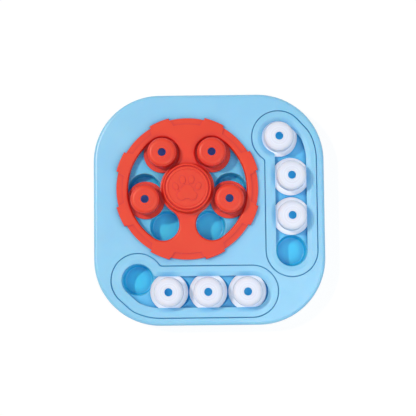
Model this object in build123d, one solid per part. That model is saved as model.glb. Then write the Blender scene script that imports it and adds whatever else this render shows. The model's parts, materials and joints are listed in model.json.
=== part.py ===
from build123d import *
from math import acos, atan2, cos, degrees, dist, hypot, radians, sin, sqrt
import os

# Dog puzzle feeder. A square tray holds treats in fourteen cups. Six lie under a
# turning wheel, whose two windows carry four sliding knobs. Four more lie in each
# of two lanes, where three blocks slide, held down by a cover with a slot.
# Millimetres. +Z is up, +X to the right, +Y away from the user. The origin is on
# the table under the middle of the tray.

# Tray, with its side measured at the deck. Its outer wall leans out to the table.
tray_side = 260.0
tray_corner_radius = 75.0
deck_height = 32.0
deck_edge_radius = 4.0
tray_wall = 2.4
wall_draft = 1.5
tray_lift = 2.0
seat_edge_radius = 0.5
rib_thickness = 1.8
rib_bottom = 14.0
rib_count = 6

# Rubber feet, one near each corner, glued into round seats under the tray
foot_radius = 8.0
foot_height = 4.0
foot_from_bend = 37.0
foot_edge = 0.8
foot_clearance = 0.2

# Treat cups
cup_floor = 8.0
cup_draft = 1.0
cup_floor_radius = 2.5
cup_mouth_radius = 1.0
wheel_cup_radius = 18.3
lane_cup_radius = 17.5

# Knobs and blocks: a flange below, a neck, a hollow round body and a sniff hole.
# They slide on a floor under the deck, and their bodies run just above it.
body_radius = 16.8
body_draft = 0.3
body_height = 24.5
body_wall = 2.0
body_clearance = 0.4
body_rib_thickness = 1.6
body_rib_bottom = 7.0
body_rib_count = 4
shoulder_radius = 5.0
neck_step = 0.5
flange_lip = 4.5
flange_thickness = 2.3
flange_edge = 0.5
ring_step = 0.3
ring_step_width = 2.7
sniff_hole_radius = 4.55
floor_clearance = 0.3

# Lane covers, flush with the deck inside a thin seam
cover_thickness = 3.5
cover_lip = 11.0
cover_seam = 0.9
cover_edge_radius = 0.5
slot_clearance = 0.9
dish_width = 5.0
dish_depth = 1.0
flange_side_clearance = 1.3
flange_top_clearance = 0.9

# Lanes: a straight run, a bend that follows the tray's corner, and a head. The
# front lane is the side lane's mirror image across the tray's diagonal.
lane_border = 7.9
bend_turn = 25.0
head_angle = 47.5
head_inset = 2.25
head_extra = 0.7
neck_ease = 4.0
block_gap = 0.4
head_gap = 1.08
lane_end_wall = 4.44

# Blocks at rest: how far each lies from its cup, towards the lane's head
side_head_shift = (0.3, -0.8)
side_run_shifts = (-2.8, -4.3)
front_run_shifts = (6.9, 6.2, 5.6)

# Pegs under the covers, and the screws that draw them down from below
peg_radius = 2.2
peg_length = 8.0
peg_clearance = 0.25
peg_inset = 2.6
peg_end_gap = 0.3
boss_radius = 4.2
boss_bottom = 8.0
screw_web = 2.0
screw_radius = 1.1
screw_clearance = 0.25
screw_length = 8.5
screw_head_radius = 2.2
screw_head_height = 1.8
screw_head_clearance = 0.4
screw_spacing = 65.0
head_screw_angles = (150.0, 100.0)

# Wheel, with the ring on which its windows, knobs and cups are centred
ring_radius = 48.65
window_clearance = 1.35
window_end_angle = 55.5
rim_width = 12.9
rim_cover = 2.2
rim_gap = 0.4
rim_rise = 4.5
lug_count = 8
lug_angle = 16.4
lug_height = 2.4
step_width = 7.2
step_depth = 1.8
step_slant = 2.3
wheel_skin = 3.0
wheel_wall = 2.2
wheel_edge_radius = 0.8
window_edge_radius = 2.4
wheel_spoke_count = 4
knob_clearance = 0.4

# Knobs at rest, as angles round the wheel
knob_angles = {
    "knob_upper_left": 124.8,
    "knob_upper_right": 55.2,
    "knob_lower_left": 194.6,
    "knob_lower_right": -14.7,
}

# Round well under the wheel. The wheel lies off centre in the room that the lanes
# leave: these shares of the spare room lie to its right and in front of it.
well_depth = 6.0
well_clearance = 0.5
wheel_cup_count = 6
room_share_right = 0.178
room_share_front = 0.143

# Post that the wheel turns on
post_radius = 9.0
post_rise = 2.0
post_clearance = 0.1
post_bore_depth = 11.0
bearing_wall = 3.0

# Hub of the wheel
collar_height = 12.0
collar_foot = 0.5
collar_wall = 2.2
collar_fillet = 3.0
collar_edge = 0.7
cap_seat_depth = 4.0
cap_ledge_width = 2.8
hub_web_depth = 5.5

# Washer and screw that hold the wheel down
washer_radius = 12.0
washer_thickness = 1.5
washer_gap = 0.3
washer_bore_clearance = 0.3
hub_screw_radius = 1.6
hub_screw_head_radius = 4.2
hub_screw_head_height = 2.5
hub_screw_head_round = 1.5
hub_screw_length = 11.5

# Cap over the hub, with a raised paw in a sunk round field
cap_gap = 0.6
cap_rise = 0.7
cap_edge = 1.6
cap_skin = 2.4
cap_plug_depth = 3.0
cap_plug_clearance = 0.15
cap_border = 3.5
cap_field_depth = 0.5
paw_height = 1.0
paw_edge_radius = 0.3
paw_drop = 4.6
paw_pad_radius = 7.6
paw_lobe_radius = 5.0
paw_lobe_place = (6.0, -4.2)
paw_toes = (
    # across, up, half width, half length, turn
    (4.9, 13.4, 3.0, 4.6, 8.0),
    (12.6, 6.0, 2.8, 4.2, 28.0),
)

# How far one form is sunk into the next, so that they fuse
weld = 0.3

# Sizes that follow from those above
corner_centre = tray_side / 2 - tray_corner_radius
deck_underside = deck_height - tray_wall
foot_offset = corner_centre + foot_from_bend
neck_radius = body_radius - neck_step
flange_radius = body_radius + flange_lip
slot_half_width = body_radius + slot_clearance
trough_half_width = flange_radius + flange_side_clearance
tub_half_width = trough_half_width + tray_wall
cover_half_width = slot_half_width + cover_lip
pocket_half_width = cover_half_width + cover_seam
peg_line = cover_half_width - peg_inset
cover_seat = deck_height - cover_thickness
trough_floor = cover_seat - flange_top_clearance - flange_thickness - floor_clearance
neck_height = deck_height + body_clearance - trough_floor - floor_clearance - flange_thickness

lane_margin = tray_corner_radius - lane_border - pocket_half_width
lane_x = corner_centre + lane_margin
lane_end_y = (2 * pocket_half_width + lane_end_wall) / sqrt(2) - lane_x
head_x = corner_centre + (lane_margin - head_inset) * cos(radians(head_angle))
head_y = corner_centre + (lane_margin - head_inset) * sin(radians(head_angle))
least_pitch = 2 * flange_radius + block_gap
run_top_y = head_y - sqrt((least_pitch + head_gap) ** 2 - (lane_x - head_x) ** 2)
run_cup_count = 1 + int((run_top_y - lane_end_y) / least_pitch)
cup_pitch = (run_top_y - lane_end_y) / (run_cup_count - 1)

window_width = 2 * (body_radius + window_clearance)
hub_wall = ring_radius - window_width / 2
segment_radius = ring_radius + window_width / 2 + rim_width
well_radius = segment_radius - rim_cover
lug_radius = segment_radius + lug_height
step_radius = segment_radius - step_width
spare_room = tray_side / 2 + lane_x - pocket_half_width - 2 * lug_radius
wheel_x = lane_x - pocket_half_width - room_share_right * spare_room - lug_radius
wheel_y = lug_radius + room_share_front * spare_room + pocket_half_width - lane_x

well_floor = deck_height - well_depth
wheel_top = deck_height + rim_rise
wheel_bottom = well_floor + floor_clearance + flange_thickness + knob_clearance
collar_radius = hub_wall - collar_fillet - collar_foot
collar_top = wheel_top + collar_height
cap_ledge = collar_top - cap_seat_depth
cap_top = collar_top + cap_rise
hub_web_top = cap_ledge - hub_web_depth
post_top = hub_web_top + post_rise
post_bore_top = post_top - post_bore_depth
diagonal = Plane(origin=(0, 0, 0), z_dir=(1, 1, 0))


def prism(outline, low, high):
    """An outline drawn up between two heights."""
    return extrude(Pos(0, 0, low) * outline, high - low, dir=(0, 0, 1))


def post(radius, low, high, x=0.0, y=0.0):
    """An upright round solid between two heights."""
    return Pos(x, y, 0) * prism(Circle(radius), low, high)


def turned(*edges):
    """A solid of revolution about Z, from the edges of its half section in radius and height."""
    return revolve(Plane.XZ * make_face(list(edges)), Axis.Z)


def joined(*points):
    """Straight edges from point to point."""
    return Polyline(*points)


def at_wheel(shape):
    return Pos(wheel_x, wheel_y, 0) * shape


def polar(radius, angle):
    return radius * cos(radians(angle)), radius * sin(radians(angle))


def level_edges(shape, height):
    """The edges of a shape that lie level at a height."""
    return shape.edges().filter_by_position(Axis.Z, height, height)


def ring_sector(inner, outer, inner_half, outer_half):
    """A sector of a ring about +X, whose half angle may differ at its two radii."""
    inner_arc = CenterArc((0, 0), inner, -inner_half, 2 * inner_half)
    outer_arc = CenterArc((0, 0), outer, -outer_half, 2 * outer_half)
    ends = [Line(inner_arc @ 0, outer_arc @ 0), Line(inner_arc @ 1, outer_arc @ 1)]
    return make_face([inner_arc, outer_arc] + ends)


def lane_outline(half_width):
    """The side lane's outline, half_width to each side of the blocks' track."""
    head_radius = half_width + head_extra
    bend = (corner_centre, corner_centre)
    turn_x, turn_y = polar(lane_margin, bend_turn)
    shoulder_x = corner_centre + turn_x
    shoulder_y = corner_centre + turn_y
    towards_head = degrees(atan2(head_y - shoulder_y, head_x - shoulder_x))
    reach = dist((shoulder_x, shoulder_y), (head_x, head_y))
    tangent = towards_head - degrees(acos((half_width - head_radius) / reach))
    neck_x = lane_x - half_width
    neck_angle = 360 - degrees(acos((neck_x - head_x) / head_radius))
    outer_bend = CenterArc(bend, lane_margin + half_width, 0, bend_turn)
    shoulder = CenterArc((shoulder_x, shoulder_y), half_width, bend_turn, tangent - bend_turn)
    head = CenterArc((head_x, head_y), head_radius, tangent, neck_angle - tangent)
    end = CenterArc((lane_x, lane_end_y), half_width, 180, 180)
    straights = [Line(end @ 1, outer_bend @ 0), Line(shoulder @ 1, head @ 0), Line(head @ 1, end @ 0)]
    outline = make_face([outer_bend, shoulder, head, end] + straights)
    corner = outline.vertices().sort_by_distance(head @ 1)[0]
    return fillet(corner, neck_ease)


def run_cups():
    """The heights in plan of the cups in a lane's straight run, from the head end down."""
    return [run_top_y - i * cup_pitch for i in range(run_cup_count)]


def lane_cups():
    """The centres of a lane's cups: the head, then the run."""
    return [(head_x, head_y)] + [(lane_x, y) for y in run_cups()]


def lane_screws():
    """The centres of a cover's pegs and screws, between the trough and the cover's edge."""
    along = (lane_end_y, lane_end_y + screw_spacing)
    run = [(lane_x + side * peg_line, y) for side in (-1, 1) for y in along]
    places = [polar(peg_line + head_extra, angle) for angle in head_screw_angles]
    return run + [(head_x + x, head_y + y) for x, y in places]


def cup_cavity(radius, top):
    """The hollow of a treat cup: rounded mouth, drafted wall and rounded floor."""
    floor_edge = radius - cup_draft - cup_floor_radius
    floor_arc = CenterArc((floor_edge, cup_floor + cup_floor_radius), cup_floor_radius, 270, 90)
    mouth_edge = radius + cup_mouth_radius
    mouth = CenterArc((mouth_edge, top - cup_mouth_radius), cup_mouth_radius, 180, -90)
    above = top + cup_mouth_radius
    lid = joined(mouth @ 1, (mouth_edge, above), (0, above), (0, cup_floor), floor_arc @ 0)
    return turned(floor_arc, Line(floor_arc @ 1, mouth @ 0), mouth, lid)


def cup_tub(radius, top):
    """The outside of a treat cup, as seen from under the tray."""
    return Pos(0, 0, cup_floor - tray_wall) * Cone(
        radius - cup_draft + tray_wall,
        radius + tray_wall,
        top - cup_floor + tray_wall,
        align=(Align.CENTER, Align.CENTER, Align.MIN),
    )


def wheel_cups():
    """The centres of the cups under the wheel, seen from the wheel's centre."""
    return [polar(ring_radius, i * 360 / wheel_cup_count) for i in range(wheel_cup_count)]


def both_lanes(shape):
    """A shape of the side lane, with its mirror image in the front lane."""
    return [shape, mirror(shape, diagonal)]


def peg_holes():
    """Under one lane's cover: holes for its pegs, and for the screws from below."""
    peg_bottom = cover_seat - peg_length - peg_end_gap
    holes = []
    for x, y in lane_screws():
        holes.append(post(peg_radius + peg_clearance, peg_bottom, cover_seat + 1, x, y))
        holes.append(post(screw_radius + screw_clearance, boss_bottom, peg_bottom, x, y))
        head_room = screw_head_radius + screw_head_clearance
        holes.append(post(head_room, boss_bottom - 1, peg_bottom - screw_web, x, y))
    return holes


def lane_tub_outside():
    tub = prism(lane_outline(tub_half_width), trough_floor - tray_wall, cover_seat)
    return tub + [Pos(x, y, 0) * cup_tub(lane_cup_radius, trough_floor) for x, y in lane_cups()]


def lane_tub():
    """The side lane's tub under its cover: a trough for the flanges, with four cups."""
    hollows = [prism(lane_outline(trough_half_width), trough_floor, deck_height)]
    hollows += [Pos(x, y, 0) * cup_cavity(lane_cup_radius, trough_floor) for x, y in lane_cups()]
    return lane_tub_outside() - hollows - peg_holes()


def lane_pocket_walls():
    """What the tray carries under its deck round the side lane: the cover's seat and bosses."""
    walls = prism(lane_outline(pocket_half_width + tray_wall), cover_seat - tray_wall, deck_underside)
    return walls + [post(boss_radius, boss_bottom, cover_seat, x, y) for x, y in lane_screws()]


def lane_pocket():
    """What the tray leaves open for the side lane's cover, tub and screws."""
    pocket = prism(lane_outline(pocket_half_width), cover_seat, deck_height + tray_wall)
    return pocket + lane_tub_outside() + peg_holes()


def drafted_block(inset, low, high):
    """A block with the tray's plan at its top, inset from the tray's side, and drafted walls."""
    side = tray_side - 2 * inset
    plan = RectangleRounded(side, side, tray_corner_radius - inset)
    return extrude(Pos(0, 0, high) * plan, high - low, dir=(0, 0, -1), taper=-wall_draft)


def ribs(low, high):
    """Upright ribs that run out from the wheel's post between the wheel's cups."""
    plan = Pos(tray_side / 2, 0) * Rectangle(tray_side, rib_thickness)
    angles = [(i + 0.5) * 360 / rib_count for i in range(rib_count)]
    return [at_wheel(Rot(0, 0, angle) * prism(plan, low, high)) for angle in angles]


def feet_at():
    return [(x * foot_offset, y * foot_offset) for x in (-1, 1) for y in (-1, 1)]


def tray_part():
    """The shell: a deck with a drafted wall, pockets for the covers, ribs and foot seats."""
    deck = drafted_block(0, tray_lift, deck_height)
    deck = fillet(level_edges(deck, deck_height), deck_edge_radius)
    room = drafted_block(tray_wall, tray_lift, deck_underside)
    seat_radius = foot_radius + foot_clearance
    under_tubs = [at_wheel(post(well_radius + tray_wall, 0, deck_underside))]
    under_tubs += both_lanes(prism(lane_outline(tub_half_width), 0, cover_seat))
    inner = [(rib & room) - under_tubs for rib in ribs(rib_bottom, deck_underside)]
    inner += [post(seat_radius + tray_wall, tray_lift, deck_underside, x, y) for x, y in feet_at()]
    tray = deck - room + inner
    for side_walls in lane_pocket_walls():
        tray += both_lanes(side_walls)
    tray -= at_wheel(post(well_radius, well_floor, deck_height + 1))
    tray -= well_outside()
    tray -= both_lanes(lane_pocket())
    tray -= [post(seat_radius, tray_lift - 1, foot_height, x, y) for x, y in feet_at()]
    seats = [edge for wire in top_face(tray).inner_wires() for edge in wire.edges()]
    return fillet(seats, seat_edge_radius)


def top_face(shape):
    """The largest level face of a shape."""
    return shape.faces().filter_by(Plane.XY).sort_by(SortBy.AREA)[-1]


def well_outside():
    well = post(well_radius + tray_wall, well_floor - tray_wall, deck_underside)
    return at_wheel(well + [Pos(x, y, 0) * cup_tub(wheel_cup_radius, well_floor) for x, y in wheel_cups()])


def well_part():
    """The round well under the wheel, with its cups, ribs and the wheel's post."""
    hollows = [post(well_radius, well_floor, deck_height + 1)]
    hollows += [Pos(x, y, 0) * cup_cavity(wheel_cup_radius, well_floor) for x, y in wheel_cups()]
    below = at_wheel(post(well_radius, rib_bottom, well_floor - tray_wall))
    well = well_outside() + at_wheel(post(post_radius, boss_bottom, well_floor))
    well += [rib & below for rib in ribs(rib_bottom, well_floor - tray_wall)]
    well -= [at_wheel(hollow) for hollow in hollows]
    well += at_wheel(post(post_radius, well_floor, post_top))
    well -= at_wheel(post(post_radius - tray_wall, boss_bottom - 1, post_bore_top))
    return well - at_wheel(post(hub_screw_radius, post_bore_top - 1, post_top + 1))


def foot_part(x, y):
    foot = post(foot_radius, 0, foot_height)
    foot = chamfer(level_edges(foot, 0), foot_edge)
    return Pos(x, y, 0) * foot


def cover_part():
    """The side lane's cover: a plate with a dished slot, and pegs below."""
    cover = prism(lane_outline(cover_half_width), cover_seat, deck_height)
    cover = fillet(level_edges(cover, deck_height), cover_edge_radius)
    dish_low = Pos(0, 0, deck_height - dish_depth) * lane_outline(slot_half_width)
    dish_high = Pos(0, 0, deck_height) * lane_outline(slot_half_width + dish_width)
    cover -= loft([dish_low.face(), dish_high.face()], ruled=True)
    cover -= prism(lane_outline(slot_half_width), cover_seat - 1, deck_height + 1)
    cover += [post(peg_radius, cover_seat - peg_length, cover_seat, x, y) for x, y in lane_screws()]
    pilot_low = cover_seat - peg_length - 1
    return cover - [post(screw_radius, pilot_low, cover_seat, x, y) for x, y in lane_screws()]


def cover_screws():
    """The side cover's screws, each with its head under the web in its boss."""
    head_top = cover_seat - peg_length - peg_end_gap - screw_web
    screw = post(screw_radius, head_top, head_top + screw_length)
    screw += post(screw_head_radius, head_top - screw_head_height, head_top)
    return Compound(children=[Pos(x, y, 0) * screw for x, y in lane_screws()])


def wheel_rim():
    """The wheel's plate: a rim with lugs, and a sunk step between each two of them."""
    rim_low = deck_height + rim_gap
    rim = post(segment_radius, rim_low, wheel_top)
    lug = ring_sector(step_radius, lug_radius, lug_angle / 2, lug_angle / 2)
    pitch = 360 / lug_count
    rim += [Rot(0, 0, (i + 0.5) * pitch) * prism(lug, rim_low, wheel_top) for i in range(lug_count)]
    half = (pitch - lug_angle) / 2
    step = ring_sector(step_radius, lug_radius + 1, half - step_slant, half)
    step = prism(step, wheel_top - step_depth, wheel_top + 1)
    return rim - [Rot(0, 0, i * pitch) * step for i in range(lug_count)]


def wheel_part():
    rim_low = deck_height + rim_gap
    skin_low = wheel_top - wheel_skin
    skirt_radius = well_radius - well_clearance
    wheel = wheel_rim() + post(skirt_radius, wheel_bottom, rim_low)
    wheel -= post(skirt_radius - wheel_wall, wheel_bottom, skin_low)

    track = CenterArc((0, 0), ring_radius, -window_end_angle, 2 * window_end_angle)
    window = SlotArc(track, window_width)
    window_wall = SlotArc(track, window_width + 2 * wheel_wall)
    wheel += [Rot(0, 0, side) * prism(window_wall, wheel_bottom, skin_low) for side in (0, 180)]
    spoke = Pos(skirt_radius / 2, 0) * Rectangle(skirt_radius - wheel_wall, wheel_wall)
    for i in range(wheel_spoke_count):
        turn = i * 360 / wheel_spoke_count
        wheel += Rot(0, 0, turn) * prism(spoke, wheel_bottom, skin_low)
    for side in (0, 180):
        wheel -= Rot(0, 0, side) * prism(window, wheel_bottom - 1, wheel_top + 1)
    wheel = fillet(rim_edges(wheel), wheel_edge_radius)
    windows = [edge for wire in top_face(wheel).inner_wires() for edge in wire.edges()]
    wheel = fillet(windows, window_edge_radius)
    wheel -= post(hub_wall - wheel_wall, wheel_bottom - 1, wheel_top + 1)
    return at_wheel(wheel + wheel_hub())


def rim_edges(wheel):
    """The level edges round the outside of the wheel's rim and lugs."""
    outside = segment_radius - step_width / 4
    centres = [(edge, edge.center()) for edge in level_edges(wheel, wheel_top)]
    return [edge for edge, centre in centres if hypot(centre.X, centre.Y) > outside]


def wheel_hub():
    """The hub: the windows' inner wall, the collar, the cap's ledge, a web and the bearing tube."""
    bearing = post_radius + post_clearance
    bearing_out = bearing + bearing_wall
    bearing_top = post_top - washer_gap
    fillet_arc = CenterArc((hub_wall, wheel_top + collar_fillet), collar_fillet, 270, -90)
    bore = collar_radius - collar_wall
    ledge = bore - cap_ledge_width
    web_low = hub_web_top - wheel_skin
    section = joined(
        fillet_arc @ 1,
        (collar_radius, collar_top - collar_edge),
        (collar_radius - collar_edge, collar_top),
        (bore + collar_edge, collar_top),
        (bore, collar_top - collar_edge),
        (bore, cap_ledge),
        (ledge, cap_ledge),
        (ledge, hub_web_top),
        (bearing_out, hub_web_top),
        (bearing_out, bearing_top),
        (bearing, bearing_top),
        (bearing, wheel_bottom),
        (bearing_out, wheel_bottom),
        (bearing_out, web_low),
        (hub_wall - wheel_wall, web_low),
        (hub_wall - wheel_wall, wheel_bottom),
        (hub_wall, wheel_bottom),
        fillet_arc @ 0,
    )
    return turned(fillet_arc, section)


def washer_part():
    washer = post(washer_radius, post_top, post_top + washer_thickness)
    bore = hub_screw_radius + washer_bore_clearance
    return at_wheel(washer - post(bore, post_top - 1, post_top + washer_thickness + 1))


def hub_screw_part():
    seat = post_top + washer_thickness
    screw = post(hub_screw_radius, seat - hub_screw_length, seat)
    head = post(hub_screw_head_radius, seat, seat + hub_screw_head_height)
    head = fillet(level_edges(head, seat + hub_screw_head_height), hub_screw_head_round)
    return at_wheel(screw + head)


def paw():
    """A plain paw print: one pad of three lobes, and four toes."""
    across, up = paw_lobe_place
    lobes = [Pos(side * across, up) * Circle(paw_lobe_radius) for side in (-1, 1)]
    shapes = [Circle(paw_pad_radius) + lobes]
    for across, up, half_width, half_length, turn in paw_toes:
        toe = Ellipse(half_width, half_length)
        shapes += [Pos(side * across, up) * Rot(0, 0, -side * turn) * toe for side in (-1, 1)]
    return [Pos(0, -paw_drop) * shape for shape in shapes]


def cap_part():
    bore = collar_radius - collar_wall
    cap_radius = bore - cap_gap
    plug = bore - cap_ledge_width - cap_plug_clearance
    edge = CenterArc((cap_radius - cap_edge, cap_top - cap_edge), cap_edge, 0, 90)
    inside = plug - wheel_wall
    field = cap_radius - cap_border
    field_top = cap_top - cap_field_depth
    section = joined(
        edge @ 1,
        (field + cap_field_depth, cap_top),
        (field, field_top),
        (0, field_top),
        (0, cap_top - cap_skin),
        (inside, cap_top - cap_skin),
        (inside, cap_ledge - cap_plug_depth),
        (plug, cap_ledge - cap_plug_depth),
        (plug, cap_ledge),
        (cap_radius, cap_ledge),
        edge @ 0,
    )
    cap = turned(edge, section)
    for shape in paw():
        pad = prism(shape, field_top - weld, field_top + paw_height)
        cap += fillet(level_edges(pad, field_top + paw_height), paw_edge_radius)
    return at_wheel(cap)


def block_part():
    """A knob or block at the origin, its flange's underside at height 0."""
    top = body_height
    ring = ring_step_width
    body_top_radius = body_radius - body_draft
    shoulder_low = top - 2 * ring_step - shoulder_radius
    shoulder = CenterArc((body_top_radius - shoulder_radius, shoulder_low), shoulder_radius, 0, 90)
    inner_radius = neck_radius - body_wall
    inner_shoulder = shoulder_radius - body_wall
    inner_top = top - 2 * ring_step - body_wall
    inner_centre = (inner_radius - inner_shoulder, inner_top - inner_shoulder)
    inner_arc = CenterArc(inner_centre, inner_shoulder, 0, 90)
    neck_top = flange_thickness + neck_height
    outside = joined(
        (inner_radius, 0),
        (flange_radius - flange_edge, 0),
        (flange_radius, flange_edge),
        (flange_radius, flange_thickness - flange_edge),
        (flange_radius - flange_edge, flange_thickness),
        (neck_radius, flange_thickness),
        (neck_radius, neck_top),
        (body_radius, neck_top + neck_step),
        shoulder @ 0,
    )
    rings = joined(
        shoulder @ 1,
        (sniff_hole_radius + 2 * ring, top - 2 * ring_step),
        (sniff_hole_radius + 2 * ring, top - ring_step),
        (sniff_hole_radius + ring, top - ring_step),
        (sniff_hole_radius + ring, top),
        (sniff_hole_radius, top),
        (sniff_hole_radius, inner_top),
        inner_arc @ 1,
    )
    block = turned(outside, shoulder, rings, inner_arc, Line(inner_arc @ 0, (inner_radius, 0)))
    rib_inner = sniff_hole_radius + body_wall
    rib_middle = (rib_inner + inner_radius) / 2
    rib_length = inner_radius - rib_inner + 2 * weld
    plan = Pos(rib_middle, 0) * Rectangle(rib_length, body_rib_thickness)
    for i in range(body_rib_count):
        turn = (i + 0.5) * 360 / body_rib_count
        block += Rot(0, 0, turn) * prism(plan, body_rib_bottom, inner_top + weld)
    return block


def placed_block(x, y):
    return Pos(x, y, trough_floor + floor_clearance) * block_part()


def side_blocks():
    """The side lane's blocks at rest, from the head down. The run's last cup lies open."""
    shift_x, shift_y = side_head_shift
    places = [(head_x + shift_x, head_y + shift_y)]
    places += [(lane_x, y + shift) for y, shift in zip(run_cups()[:-1], side_run_shifts)]
    return [placed_block(x, y) for x, y in places]


def front_blocks():
    """The front lane's blocks at rest, from the head down. The head's cup lies open."""
    along = [y + shift for y, shift in zip(run_cups(), front_run_shifts)]
    return [placed_block(-y, -lane_x) for y in along]


def knobs():
    height = well_floor + floor_clearance
    placed = {}
    for name, angle in knob_angles.items():
        x, y = polar(ring_radius, angle)
        placed[name] = at_wheel(Pos(x, y, height) * block_part())
    return placed


def assembly():
    """Every node by name."""
    side_cover = cover_part()
    side_screws = cover_screws()
    side_tub = lane_tub()
    nodes = {"tray": tray_part(), "wheel_well": well_part()}
    nodes["side_lane_tub"] = side_tub
    nodes["front_lane_tub"] = mirror(side_tub, diagonal)
    nodes["side_lane_cover"] = side_cover
    nodes["front_lane_cover"] = mirror(side_cover, diagonal)
    nodes["side_cover_screws"] = side_screws
    nodes["front_cover_screws"] = mirror(side_screws, diagonal)
    nodes["wheel"] = wheel_part()
    nodes["hub_cap"] = cap_part()
    nodes["hub_washer"] = washer_part()
    nodes["hub_screw"] = hub_screw_part()
    nodes.update(knobs())
    for i, block in enumerate(side_blocks(), 1):
        nodes[f"side_block_{i}"] = block
    for i, block in enumerate(front_blocks(), 1):
        nodes[f"front_block_{i}"] = block
    names = ("front_left", "back_left", "front_right", "back_right")
    for name, (x, y) in zip(names, feet_at()):
        nodes[f"foot_{name}"] = foot_part(x, y)
    return nodes


os.makedirs("parts", exist_ok=True)
for name, shape in assembly().items():
    export_step(shape, f"parts/{name}.step")
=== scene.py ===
import json
from math import cos, hypot, pi, radians, sin

import bpy
from mathutils import Matrix, Vector


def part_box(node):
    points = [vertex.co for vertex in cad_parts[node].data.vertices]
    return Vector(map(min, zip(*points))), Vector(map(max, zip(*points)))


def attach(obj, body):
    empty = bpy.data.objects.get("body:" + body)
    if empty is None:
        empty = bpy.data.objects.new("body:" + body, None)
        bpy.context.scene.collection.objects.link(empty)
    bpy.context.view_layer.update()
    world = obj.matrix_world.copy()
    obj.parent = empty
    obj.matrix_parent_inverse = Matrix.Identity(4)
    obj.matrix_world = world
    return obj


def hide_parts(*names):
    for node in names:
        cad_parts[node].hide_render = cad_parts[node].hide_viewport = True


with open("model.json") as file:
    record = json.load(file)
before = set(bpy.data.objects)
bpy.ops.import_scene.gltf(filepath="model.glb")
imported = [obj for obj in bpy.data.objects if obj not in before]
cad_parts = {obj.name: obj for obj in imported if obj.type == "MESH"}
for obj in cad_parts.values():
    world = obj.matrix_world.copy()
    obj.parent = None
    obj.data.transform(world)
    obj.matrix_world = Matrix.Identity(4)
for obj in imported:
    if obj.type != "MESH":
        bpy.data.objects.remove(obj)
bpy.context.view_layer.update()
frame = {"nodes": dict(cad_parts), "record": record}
nodes = frame["nodes"]
slots = {part["node"]: part["material_slot"] for part in frame["record"]["subparts"]}
mm = 0.001
print("frame loaded:", len(nodes), "nodes")


def toLinear(hexColour):
    channels = [int(hexColour[i:i + 2], 16) / 255 for i in (1, 3, 5)]
    linear = [c / 12.92 if c <= 0.04045 else ((c + 0.055) / 1.055) ** 2.4 for c in channels]
    return linear + [1.0]


def addNode(tree, kind, settings=None, links=None):
    node = tree.nodes.new("ShaderNode" + kind)
    for key, value in (settings or {}).items():
        if isinstance(key, int) or key in node.inputs:
            node.inputs[key].default_value = value
        else:
            setattr(node, key, value)
    for key, socket in (links or {}).items():
        tree.links.new(socket, node.inputs[key])
    return node


def setShader(shader, values):
    for name, value in values.items():
        shader.inputs[name].default_value = value


def emptyMaterial(name):
    material = bpy.data.materials.new(name)
    material.use_nodes = True
    material.node_tree.nodes.clear()
    return material


def newMaterial(name):
    material = emptyMaterial(name)
    tree = material.node_tree
    shader = addNode(tree, "BsdfPrincipled")
    addNode(tree, "OutputMaterial", {}, {"Surface": shader.outputs[0]})
    return material, tree, shader


def place(tree):
    # every CAD piece sits at the origin, so these are real metres on the piece, and they ride with it
    return addNode(tree, "TexCoord").outputs["Object"]


def cells(sizeMm):
    # the scale that gives a noise pattern of that size
    return 1 / (sizeMm * mm)


# what the patterns on all the mouldings share
pattern = {
    "grainDetail": 2.0, "grainCoarseness": 0.6, "waveDetail": 1.0, "polishDetail": 3.0,
    "noiseLow": 0.3, "noiseHigh": 0.7,       # the span that most of a noise pattern's values fill
    "driftLow": 0.35, "driftHigh": 0.65,     # the span over which one colour gives way to the other
    "openSamples": 8,                        # rays that find how closed in a spot is
}


def sparkErodedSkin(tree, shader, look):
    # The mould's cavity is spark eroded, so the plastic comes out satin, with a fine even grain.
    # The real grain is about 0.05 mm, too fine to show, so it is drawn as coarse as the look says.
    # Long shallow waves are left where the plastic shrinks over ribs, and make highlights wander.
    at = place(tree)
    grainSize = {"Scale": cells(look["grainMm"]), "Detail": pattern["grainDetail"],
                 "Roughness": pattern["grainCoarseness"]}
    grain = addNode(tree, "TexNoise", grainSize, {"Vector": at})
    waveSize = {"Scale": cells(look["waveMm"]), "Detail": pattern["waveDetail"]}
    waves = addNode(tree, "TexNoise", waveSize, {"Vector": at})
    sunk = addNode(tree, "Bump", {"Strength": 1.0, "Distance": look["waveHeightMm"] * mm},
                   {"Height": waves.outputs[0]})
    skin = addNode(tree, "Bump", {"Strength": 1.0, "Distance": look["grainHeightMm"] * mm},
                   {"Height": grain.outputs[0], "Normal": sunk.outputs[0]})
    tree.links.new(skin.outputs[0], shader.inputs["Normal"])

    polishSize = {"Scale": cells(look["polishMm"]), "Detail": pattern["polishDetail"]}
    polish = addNode(tree, "TexNoise", polishSize, {"Vector": at})
    spread = {"From Min": pattern["noiseLow"], "From Max": pattern["noiseHigh"],
              "To Min": look["roughness"] - look["roughSpread"],
              "To Max": look["roughness"] + look["roughSpread"]}
    rough = addNode(tree, "MapRange", spread, {"Value": polish.outputs[0]})
    tree.links.new(rough.outputs[0], shader.inputs["Roughness"])
    return waves.outputs[0]


def clouded(tree, flow, colour, other):
    # a colour that drifts a little towards another one, as pigment does where the melt flowed
    span = {"From Min": pattern["driftLow"], "From Max": pattern["driftHigh"]}
    drift = addNode(tree, "MapRange", span, {"Value": flow})
    both = {"data_type": "RGBA", 6: toLinear(colour), 7: toLinear(other)}
    return addNode(tree, "Mix", both, {0: drift.outputs[0]}).outputs[2]


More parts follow.
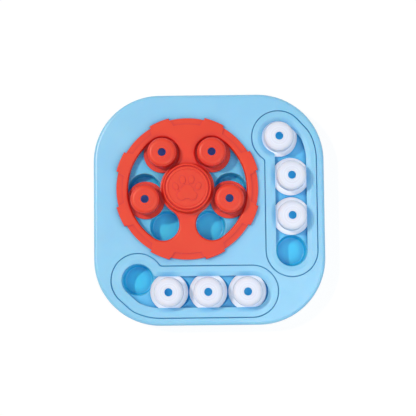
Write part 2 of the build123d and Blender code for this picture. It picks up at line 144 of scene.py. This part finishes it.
def paintedHollowShade(tree, shader, colour, look):
    # Painted shade: in gaps, cups and corners the colour is darkened and saturated by how closed in each
    # spot is. It stands in for the shade there and for light that reaches the eye off several walls of one
    # colour. The wide reach shades cups and the feet of walls, and the narrow one draws the fine creases.
    for part in ("hollow", "crease"):
        reach = {"samples": pattern["openSamples"], "Distance": look[part + "ReachMm"] * mm}
        openness = addNode(tree, "AmbientOcclusion", reach)
        share = addNode(tree, "MapRange", {"From Min": look[part + "Full"], "From Max": 1.0},
                        {"Value": openness.outputs["AO"]})
        shaded = addNode(tree, "Mix", {"data_type": "RGBA", 6: toLinear(look[part])},
                         {0: share.outputs[0], 7: colour})
        colour = shaded.outputs[2]
    if look["creaseGlow"]:
        # painted light: the creases glow a little, so their painted shade never goes black
        glow = addNode(tree, "MapRange", {"To Min": look["creaseGlow"], "To Max": 0.0},
                       {"Value": share.outputs[0]})
        tree.links.new(glow.outputs[0], shader.inputs["Emission Strength"])
        setShader(shader, {"Emission Color": toLinear(look["creaseLight"])})
    return colour


def finishMoulding(tree, shader, colour, look):
    # what every moulding shares: painted shade in hollows and creases with a painted glow in the creases,
    # and light that runs a little way under the skin
    tree.links.new(paintedHollowShade(tree, shader, colour, look), shader.inputs["Base Color"])
    setShader(shader, {"IOR": look["ior"], "Subsurface Weight": look["glow"],
                       "Subsurface Radius": look["underSkin"], "Subsurface Scale": look["seeDeepMm"] * mm})


# The shell, well and lanes are sky-blue ABS, injection moulded in a spark-eroded tool. It is opaque
# and satin, with soft highlights and a little light under its skin.
skyBlue = {
    "colour": "#8ED0F0", "drift": "#8ACDEE",
    # painted shade colours for the cups and troughs, darker and more saturated than the deck
    "cupColour": "#48D2F4", "cupDrift": "#42CEF1",
    "troughColour": "#6CCAF4",
    # hollow and crease are painted shade colours, and creaseLight with creaseGlow a painted glow in the
    # creases
    "hollow": "#0690CE", "hollowReachMm": 9.0, "hollowFull": 0.15,
    "crease": "#0C9CD6", "creaseReachMm": 1.5, "creaseFull": 0.1,
    "creaseLight": "#1488B4", "creaseGlow": 0.14,
    "fadeMm": 5.0,                     # how far down a cup's wall the colour takes to deepen
    "grainMm": 0.7, "grainHeightMm": 0.012,
    "waveMm": 38.0, "waveHeightMm": 0.25,
    "polishMm": 9.0, "roughness": 0.36, "roughSpread": 0.03,
    "ior": 1.53, "gloss": 0.7, "cupGloss": 0.35,
    "seeDeepMm": 3.0, "glow": 0.6,
    "underSkin": (0.25, 0.7, 1.0),     # how far red, green and blue get, as shares of seeDeepMm
}


def mouldedBlueAbs(name, shadeColours=None, topMm=0.0):
    # Painted shade: the colours given for the cups and troughs darken and saturate the plastic below topMm,
    # standing in for light that reaches the eye off several blue walls.
    look = skyBlue
    material, tree, shader = newMaterial(name)
    flow = sparkErodedSkin(tree, shader, look)
    colour = clouded(tree, flow, look["colour"], look["drift"])
    if shadeColours:
        below = clouded(tree, flow, *shadeColours)
        height = addNode(tree, "SeparateXYZ", {}, {0: place(tree)})
        depth = {"From Min": topMm * mm, "From Max": (topMm - look["fadeMm"]) * mm}
        fade = addNode(tree, "MapRange", depth, {"Value": height.outputs[2]})
        faded = addNode(tree, "Mix", {"data_type": "RGBA"}, {0: fade.outputs[0], 6: colour, 7: below})
        colour = faded.outputs[2]
    finishMoulding(tree, shader, colour, look)
    setShader(shader, {"Specular IOR Level": look["cupGloss" if shadeColours else "gloss"]})
    return material


# The wheel, its cap and the knobs are coral-red ABS. Its pigment lets some red light run under the skin,
# and painted shade and a painted glow in the creases keep its shadows warm and never grey.
coralRed = {
    "colour": "#E5380A", "drift": "#E23308",
    # hollow and crease are painted shade colours, and creaseLight with creaseGlow a painted glow in the
    # creases
    "hollow": "#C80F1A", "hollowReachMm": 9.0, "hollowFull": 0.25,
    "crease": "#B81018", "creaseReachMm": 2.0, "creaseFull": 0.1,
    "creaseLight": "#D0484C", "creaseGlow": 0.36,
    "grainMm": 0.7, "grainHeightMm": 0.012,
    "waveMm": 30.0, "waveHeightMm": 0.2,
    "polishMm": 8.0, "roughness": 0.45, "roughSpread": 0.04,
    "ior": 1.53, "seeDeepMm": 2.0, "glow": 0.4, "underSkin": (1.0, 0.08, 0.06),
    # painted light: the glow on the faces inside the knobs
    "throughWall": "#C1769E", "throughShare": 0.55,
}

# The blocks in the lanes are white ABS. In a 2 mm wall it is translucent and looks milky, and the hollow
# behind it is lit by a painted glow so it isn't dark.
milkWhite = {
    "colour": "#E4E8F3", "drift": "#E1E5F1",
    # hollow and crease are painted shade colours, and creaseLight with creaseGlow a painted glow in the
    # creases
    "hollow": "#E2E8F2", "hollowReachMm": 8.0, "hollowFull": 0.2,
    "crease": "#D2DCEC", "creaseReachMm": 5.0, "creaseFull": 0.1,
    "creaseLight": "#EAEEF2", "creaseGlow": 0.42,
    "grainMm": 0.7, "grainHeightMm": 0.012,
    "waveMm": 26.0, "waveHeightMm": 0.15,
    "polishMm": 7.0, "roughness": 0.5, "roughSpread": 0.04,
    "ior": 1.53, "seeDeepMm": 1.5, "glow": 0.5, "underSkin": (0.7, 0.85, 1.0),
    # painted light: the glow on the faces inside the blocks
    "throughWall": "#C4E4F6", "throughShare": 0.36,
}


def mouldedThinAbs(name, look, inside=False):
    # Painted light: with inside set, the faces glow with a constant emission standing in for daylight that
    # comes through the thin walls. It fills the hollow behind them, and takes the place of the painted glow
    # in the creases there too.
    material, tree, shader = newMaterial(name)
    if inside:
        look = dict(look, creaseGlow=0.0)
        setShader(shader, {"Emission Color": toLinear(look["throughWall"]),
                           "Emission Strength": look["throughShare"]})
    flow = sparkErodedSkin(tree, shader, look)
    finishMoulding(tree, shader, clouded(tree, flow, look["colour"], look["drift"]), look)
    return material


# the feet are grey thermoplastic rubber, moulded matt
footRubber = {
    "colour": "#8E9296", "dust": "#A3A6A8",
    "grainMm": 0.9, "grainHeightMm": 0.05, "poreDetail": 4.0,
    "roughness": 0.82, "ior": 1.5,
}


def mattRubber(name):
    # Rubber shows no clear highlight, and a paler bloom of dust lies on its pores.
    look = footRubber
    material, tree, shader = newMaterial(name)
    poreSize = {"Scale": cells(look["grainMm"]), "Detail": look["poreDetail"]}
    pores = addNode(tree, "TexNoise", poreSize, {"Vector": place(tree)})
    skin = addNode(tree, "Bump", {"Distance": look["grainHeightMm"] * mm}, {"Height": pores.outputs[0]})
    dusty = clouded(tree, pores.outputs[0], look["colour"], look["dust"])
    tree.links.new(dusty, shader.inputs["Base Color"])
    tree.links.new(skin.outputs[0], shader.inputs["Normal"])
    setShader(shader, {"Roughness": look["roughness"], "IOR": look["ior"]})
    return material


# the screws and the washer are steel, barrel zinc plated and passivated
zincPlate = {
    "colour": "#C9CCD0", "tint": "#B9BFC9",
    "spangleMm": 1.2, "spangleDetail": 2.0,
    "scratchMm": 0.4, "scratchHeightMm": 0.006, "scratchDetail": 5.0, "scratchSwirl": 1.5,
    "roughness": 0.3,
}


def zincPlatedSteel(name):
    # Plating is bright with a faint blue bloom, and barrel work leaves small random scratches.
    look = zincPlate
    material, tree, shader = newMaterial(name)
    at = place(tree)
    bloomSize = {"Scale": cells(look["spangleMm"]), "Detail": look["spangleDetail"]}
    bloom = addNode(tree, "TexNoise", bloomSize, {"Vector": at})
    scratchSize = {"Scale": cells(look["scratchMm"]), "Detail": look["scratchDetail"],
                   "Distortion": look["scratchSwirl"]}
    scratches = addNode(tree, "TexNoise", scratchSize, {"Vector": at})
    skin = addNode(tree, "Bump", {"Distance": look["scratchHeightMm"] * mm},
                   {"Height": scratches.outputs[0]})
    plated = clouded(tree, bloom.outputs[0], look["colour"], look["tint"])
    tree.links.new(plated, shader.inputs["Base Color"])
    tree.links.new(skin.outputs[0], shader.inputs["Normal"])
    setShader(shader, {"Metallic": 1.0, "Roughness": look["roughness"]})
    return material


finishes = {
    "sky_blue_plastic": mouldedBlueAbs("skyBlueAbs"),
    "red_plastic": mouldedThinAbs("coralRedAbs", coralRed),
    "white_plastic": mouldedThinAbs("milkWhiteAbs", milkWhite),
    "grey_rubber": mattRubber("greyFootRubber"),
    "steel": zincPlatedSteel("zincPlatedSteel"),
}


def dress(node, *materials):
    node.data.materials.clear()
    for material in materials:
        node.data.materials.append(material)


for nodeName, node in nodes.items():
    dress(node, finishes[slots[nodeName]])
print("pieces dressed")


blockHollow = {"radiusMm": 15.5, "roofMm": 2.5}


def glowInsideHollow(nodeName, outside, inside):
    # gives the faces inside a knob or block the material that glows with painted light, standing in for
    # light through the wall
    low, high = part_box(nodeName)
    middle = (low + high) / 2
    dress(nodes[nodeName], outside, inside)
    for face in nodes[nodeName].data.polygons:
        away = hypot(face.center.x - middle.x, face.center.y - middle.y)
        if away < blockHollow["radiusMm"] * mm and face.center.z < high.z - blockHollow["roofMm"] * mm:
            face.material_index = 1


whiteInsideGlow = mouldedThinAbs("milkWhiteAbsInside", milkWhite, inside=True)
redInsideGlow = mouldedThinAbs("coralRedAbsInside", coralRed, inside=True)
for nodeName in nodes:
    if nodeName.startswith("knob"):
        glowInsideHollow(nodeName, finishes["red_plastic"], redInsideGlow)
    elif "block" in nodeName:
        glowInsideHollow(nodeName, finishes["white_plastic"], whiteInsideGlow)
print("hollows lit")


cups = {
    "wheelMouthMm": 26.0, "wheelRadiusMm": 18.3,
    "laneMouthMm": 24.5, "laneRadiusMm": 17.5,
    "floorMm": 7.5, "deckMm": 32.0,
    # the cups' material is a painted shade copy of the blue plastic
    "reachMm": 1.2,            # how far outside the radius a face still counts as the cup's
    "lipMm": 0.2,              # the cup's own material starts that far under the mouth
    "levelFrom": 0.5,          # how far up a face's normal has to point for a level floor
}


def cupCentres(start):
    openings = frame["record"]["physics"]["openings"]
    boxes = [each["box_m"] for each in openings if each["name"].startswith(start) and "cup" in each["name"]]
    return [((low[0] + high[0]) / 2, (low[1] + high[1]) / 2) for low, high in boxes]


def paintInsides(node, centres, radiusMm, mouthMm):
    # gives the faces inside the cups the second material and the level floor round them the third, both
    # painted shade copies of the blue, darker and more saturated
    reach = (radiusMm + cups["reachMm"]) * mm
    lowest = cups["floorMm"] * mm
    highest = (mouthMm - cups["lipMm"]) * mm
    for face in node.data.polygons:
        x, y, z = face.center
        near = any(hypot(x - cx, y - cy) < reach for cx, cy in centres)
        if near and lowest < z < highest:
            face.material_index = 1
        elif face.normal.z > cups["levelFrom"]:
            face.material_index = 2


blue = finishes["sky_blue_plastic"]
cupShadeColours = (skyBlue["cupColour"], skyBlue["cupDrift"])
troughShadeColours = (skyBlue["troughColour"], skyBlue["troughColour"])
wheelCupShade = mouldedBlueAbs("skyBlueAbsWheelCup", cupShadeColours, cups["wheelMouthMm"])
troughShade = mouldedBlueAbs("skyBlueAbsTrough", troughShadeColours, cups["deckMm"])
laneCupShade = mouldedBlueAbs("skyBlueAbsLaneCup", cupShadeColours, cups["laneMouthMm"])
dress(nodes["wheel_well"], blue, wheelCupShade, troughShade)
paintInsides(nodes["wheel_well"], cupCentres("wheel"), cups["wheelRadiusMm"], cups["wheelMouthMm"])
for lane in ("side", "front"):
    tub = nodes[lane + "_lane_tub"]
    dress(tub, blue, laneCupShade, troughShade)
    paintInsides(tub, cupCentres(lane), cups["laneRadiusMm"], cups["laneMouthMm"])
print("cups painted")


# pan-head self-tapping screws with a cross recess, headed and thread rolled from wire
coverScrew = {
    "shankMm": 1.1, "lengthMm": 8.5, "pitchMm": 1.0, "headMm": 2.2, "headHighMm": 1.8,
    "recessMm": 1.3, "wingMm": 0.36, "deepMm": 1.2, "up": -1,
}
hubScrew = {
    "shankMm": 1.6, "lengthMm": 11.5, "pitchMm": 1.35, "headMm": 4.2, "headHighMm": 2.5,
    "recessMm": 2.2, "wingMm": 0.55, "deepMm": 1.9, "up": 1,
}
screwSizes = {"side_cover_screws": coverScrew, "front_cover_screws": coverScrew, "hub_screw": hubScrew}
screwShape = {
    "segments": 24, "rowsPerTurn": 6,
    "root": 0.74,              # the thread's root radius over its crest radius
    "tipMm": 2.0, "tip": 0.3,  # length of the taper at the tip, and the radius left at its end
    # the head's outline, as shares of its radius and height
    "pan": ((0.98, 0.0), (1.0, 0.08), (1.0, 0.38), (0.95, 0.62), (0.84, 0.82), (0.66, 0.94), (0.4, 0.99)),
    "punchTip": 0.5, "punchMouth": 1.08, "punchProudMm": 0.2,
    "sharpDegrees": 40.0, "turnDegrees": 137.5,
    "apart": 3,                # points this many head radii from a screw belong to another one
}


def latheRings(size):
    # the screw's rings from its tip to its face, with the seat of the head at height 0
    length = size["lengthMm"]
    rows = int(length / size["pitchMm"] * screwShape["rowsPerTurn"])
    count = screwShape["segments"]
    root = screwShape["root"]
    tip = screwShape["tip"]
    rings = []
    for row in range(rows + 1):
        height = -length * (1 - row / rows)
        taper = min(1.0, tip + (1 - tip) * (height + length) / screwShape["tipMm"])
        ring = []
        for step in range(count):
            turns = height / size["pitchMm"] - step / count
            crest = 1 - abs(2 * (turns % 1) - 1)
            ring.append((size["shankMm"] * taper * (root + (1 - root) * crest), height))
        rings.append(ring)
    for wide, high in screwShape["pan"]:
        rings.append([(size["headMm"] * wide, size["headHighMm"] * high)] * count)
    return rings


def meshObject(name, points, faces):
    mesh = bpy.data.meshes.new(name)
    mesh.from_pydata(points, [], faces)
    piece = bpy.data.objects.new(name, mesh)
    bpy.context.scene.collection.objects.link(piece)
    return piece


def crossPunch(size):
    # the tapered cross that forms the recess, as a solid to take out of the head
    arm = size["recessMm"]
    wing = size["wingMm"]
    corner = [(wing, wing), (wing, arm), (-wing, arm)]
    cross = []
    for quarter in range(4):
        cross += corner
        corner = [(-y, x) for x, y in corner]
    top = size["headHighMm"]
    ends = ((screwShape["punchTip"], top - size["deepMm"]),
            (screwShape["punchMouth"], top + screwShape["punchProudMm"]))
    points = [(x * mm * wide, y * mm * wide, high * mm) for wide, high in ends for x, y in cross]
    count = len(cross)
    faces = [tuple(range(count)), tuple(range(2 * count - 1, count - 1, -1))]
    for step in range(count):
        after = (step + 1) % count
        faces.append((step + count, after + count, after, step))
    return meshObject("crossPunch", points, faces)


def screwPattern(size):
    # one screw's mesh, cut with the punch
    rings = latheRings(size)
    count = screwShape["segments"]
    points = []
    for ring in rings:
        for step, (radius, height) in enumerate(ring):
            angle = 2 * pi * step / count
            points.append((radius * cos(angle) * mm, radius * sin(angle) * mm, height * mm))
    faces = []
    for row in range(len(rings) - 1):
        below = row * count
        above = below + count
        for step in range(count):
            after = (step + 1) % count
            faces.append((below + step, below + after, above + after, above + step))
    faces += [tuple(range(count - 1, -1, -1)), tuple(range(len(points) - count, len(points)))]
    screw = meshObject("screwBlank", points, faces)
    punch = crossPunch(size)
    recess = screw.modifiers.new("recess", "BOOLEAN")
    recess.object = punch
    recess.operation = "DIFFERENCE"
    recess.solver = "EXACT"
    bpy.context.view_layer.update()
    cut = screw.evaluated_get(bpy.context.evaluated_depsgraph_get())
    punched = bpy.data.meshes.new_from_object(cut)
    for used in (screw, punch):
        bpy.data.objects.remove(used)
    return punched


def standingPlaces(node, apartMm):
    # where each solid of a node stands: the middles of its groups of points in plan
    groups = []
    for vertex in node.data.vertices:
        x, y = vertex.co.x, vertex.co.y
        for group in groups:
            if hypot(group[0][0] - x, group[0][1] - y) < apartMm * mm:
                group.append((x, y))
                break
        else:
            groups.append([(x, y)])
    return [tuple((min(axis) + max(axis)) / 2 for axis in zip(*group)) for group in groups]


def makeScrews(nodeName, size):
    # a copy of the screw at each place, turned so that no two recesses line up
    screw = screwPattern(size)
    low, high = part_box(nodeName)
    up = size["up"]
    head = size["headHighMm"] * mm
    seat = low.z + head if up < 0 else high.z - head
    points = []
    faces = []
    places = standingPlaces(nodes[nodeName], screwShape["apart"] * size["headMm"])
    for number, (x, y) in enumerate(places):
        turn = radians(screwShape["turnDegrees"] * number)
        start = len(points)
        for vertex in screw.vertices:
            px, py, pz = vertex.co
            across = px * cos(turn) - py * sin(turn)
            along = px * sin(turn) + py * cos(turn)
            points.append((x + across, y + up * along, seat + up * pz))
        faces += [tuple(start + i for i in face.vertices) for face in screw.polygons]
    screws = meshObject(nodeName.replace("_", " ").title().replace(" ", ""), points, faces)
    screws.data.polygons.foreach_set("use_smooth", [True] * len(faces))
    screws.data.set_sharp_from_angle(angle=radians(screwShape["sharpDegrees"]))
    dress(screws, finishes["steel"])
    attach(screws, "tray")
    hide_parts(nodeName)


for nodeName, size in screwSizes.items():
    makeScrews(nodeName, size)
print("screws made")


studio = {
    "level": 1.0,              # what a white, level surface shows
    "keyShare": 0.45, "keyTone": "#FFEAD6", "keyElevation": 56.0, "keyAzimuth": 157.0,
    "keyDiameter": 0.16, "keyDistance": 2.6,
    "cardShare": 0.26, "cardTone": "#FFFFFF", "cardElevation": 64.0, "cardAzimuth": -38.0,
    "cardDiameter": 0.5, "cardDistance": 0.75,
    "horizonBlur": 0.02,       # how far from level the sky takes to give way to the floor's light
    "floorSize": 6.0, "floorBounce": 0.7, "floorLift": 0.9, "floorDiffuse": 0.13,
}


def seenDirectly(tree):
    # 1 for rays that look at the background itself, at its mirror image or at it through something
    path = addNode(tree, "LightPath")
    either = addNode(tree, "Math", {"operation": "MAXIMUM"},
                     {0: path.outputs["Is Camera Ray"], 1: path.outputs["Is Glossy Ray"]})
    direct = addNode(tree, "Math", {"operation": "MAXIMUM"},
                     {0: either.outputs[0], 1: path.outputs["Is Transmission Ray"]})
    return direct.outputs[0]


def makeSky():
    world = bpy.data.worlds.new("studioRoom")
    bpy.context.scene.world = world
    world.use_nodes = True
    tree = world.node_tree
    tree.nodes.clear()
    # The sky gives a level surface what the two lamps leave out, channel by channel, so that white stays
    # white. Its lower half gives the light that the pale floor would throw up, so the underside is lit too.
    fill = []
    for key, card in zip(toLinear(studio["keyTone"])[:3], toLinear(studio["cardTone"])[:3]):
        fill.append(studio["level"] * (1 - studio["keyShare"] * key - studio["cardShare"] * card))
    fill.append(1.0)
    bounce = [studio["floorBounce"]] * 3 + [1.0]
    blur = studio["horizonBlur"]
    upwards = addNode(tree, "SeparateXYZ", {}, {0: addNode(tree, "TexCoord").outputs["Generated"]})
    above = addNode(tree, "MapRange", {"From Min": -blur, "From Max": blur}, {"Value": upwards.outputs[2]})
    dome = addNode(tree, "Mix", {"data_type": "RGBA", 6: bounce, 7: fill}, {0: above.outputs[0]})
    colour = addNode(tree, "Mix", {"data_type": "RGBA", 7: (1, 1, 1, 1)},
                     {0: seenDirectly(tree), 6: dome.outputs[2]})
    sky = addNode(tree, "Background", {}, {"Color": colour.outputs[2]})
    addNode(tree, "OutputWorld", {}, {"Surface": sky.outputs[0]})


def makeFloor():
    # white paper with the object's shadow from above, and clear from below, so that the underside
    # can be looked at through it
    half = studio["floorSize"] / 2
    corners = [(-half, -half, 0), (half, -half, 0), (half, half, 0), (-half, half, 0)]
    floor = meshObject("floor", corners, [(0, 1, 2, 3)])
    material = emptyMaterial("whitePaperFloor")
    tree = material.node_tree
    clear = addNode(tree, "BsdfTransparent")
    dim = addNode(tree, "BsdfDiffuse", {"Color": (studio["floorDiffuse"],) * 3 + (1,)})
    lift = addNode(tree, "Emission", {"Strength": studio["floorLift"]})
    paper = addNode(tree, "AddShader", {}, {0: dim.outputs[0], 1: lift.outputs[0]})
    below = addNode(tree, "NewGeometry").outputs["Backfacing"]
    onTop = addNode(tree, "Math", {"operation": "SUBTRACT"}, {0: seenDirectly(tree), 1: below})
    seen = addNode(tree, "MixShader", {}, {0: onTop.outputs[0], 1: clear.outputs[0], 2: paper.outputs[0]})
    addNode(tree, "OutputMaterial", {}, {"Surface": seen.outputs[0]})
    dress(floor, material)


def makeLamp(name):
    # a round soft lamp that gives its share of the light on a level surface
    elevation = radians(studio[name + "Elevation"])
    azimuth = radians(studio[name + "Azimuth"])
    distance = studio[name + "Distance"]
    away = Vector((cos(azimuth) * cos(elevation), sin(azimuth) * cos(elevation), sin(elevation)))
    light = bpy.data.lights.new(name, "AREA")
    light.shape = "DISK"
    light.size = studio[name + "Diameter"]
    light.color = toLinear(studio[name + "Tone"])[:3]
    light.energy = studio["level"] * studio[name + "Share"] * (pi * distance) ** 2 / sin(elevation)
    lamp = bpy.data.objects.new(name, light)
    lamp.location = away * distance
    lamp.rotation_euler = away.to_track_quat("Z", "Y").to_euler()
    bpy.context.scene.collection.objects.link(lamp)


camera = {
    "stand": (0.0, -0.0793, 1.232), "aim": (-0.0013, 0.0014, 0.032),
    "lensMm": 92.5, "sensorMm": 36.0, "rollDegrees": 0.65, "nearest": 0.05,
}


def makeCamera():
    lens = bpy.data.cameras.new("camera")
    lens.lens = camera["lensMm"]
    lens.sensor_width = camera["sensorMm"]
    lens.clip_start = camera["nearest"]
    viewer = bpy.data.objects.new("camera", lens)
    back = (Vector(camera["stand"]) - Vector(camera["aim"])).normalized()
    turn = radians(camera["rollDegrees"])
    right = Vector((cos(turn), -sin(turn), 0))
    right = (right - right.dot(back) * back).normalized()
    axes = Matrix((right, back.cross(right), back)).transposed()
    viewer.matrix_world = Matrix.Translation(camera["stand"]) @ axes.to_4x4()
    bpy.context.scene.collection.objects.link(viewer)
    bpy.context.scene.camera = viewer


makeSky()
makeFloor()
makeLamp("key")
makeLamp("card")
makeCamera()
bpy.context.scene.view_settings.view_transform = "Standard"
print("studio ready")
